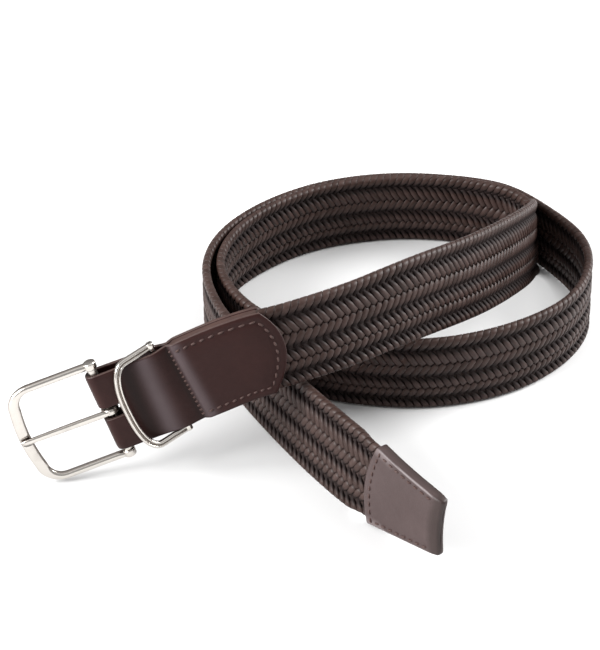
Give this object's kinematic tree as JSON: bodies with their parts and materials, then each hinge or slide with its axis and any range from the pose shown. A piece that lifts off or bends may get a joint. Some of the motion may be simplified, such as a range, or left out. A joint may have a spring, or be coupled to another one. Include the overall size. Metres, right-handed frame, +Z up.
{
  "type": "braided belt",
  "caption": "Woven leather belt standing on its edge in two turns, with a pin buckle, keeper ring, leather buckle end and leather tail cover.",
  "frame": {"origin": "on the ground under the middle of the belt's bounding box", "axes": "+Z up, -Y toward the side with the buckle and the tail, +X to the right of the coil"},
  "size_m": [0.2396, 0.2382, 0.0721],
  "materials": {
    "woven_leather": "braided dark brown leather, satin",
    "end_leather": "smooth dark brown leather, satin",
    "tip_leather": "smooth dark brown leather, satin",
    "polished_nickel": "polished nickel plate"
  },
  "bodies": {
    "belt": {"braided_strap": "woven_leather", "buckle_chape": "end_leather", "tip_cover": "tip_leather"},
    "frame": {"buckle_frame": "polished_nickel"},
    "prong": {"buckle_prong": "polished_nickel"},
    "keeper": {"keeper_ring": "polished_nickel"}
  },
  "joints": [
    {"name": "frame_swivel", "type": "hinge", "parent": "belt", "child": "frame", "pos_m": [-0.08147, -0.06282, 0.03091], "axis": [-0.3116, 0.0336, 0.9496], "range_deg": [-60, 20]},
    {"name": "prong_swing", "type": "hinge", "parent": "frame", "child": "prong", "pos_m": [-0.08147, -0.06282, 0.03091], "axis": [-0.3116, 0.0336, 0.9496], "range_deg": [0, 70]},
    {"name": "keeper_swing", "type": "hinge", "parent": "belt", "child": "keeper", "pos_m": [-0.05852, -0.05851, 0.0383], "axis": [-0.3497, 0.0659, 0.9345], "range_deg": [0, 110]}
  ]
}
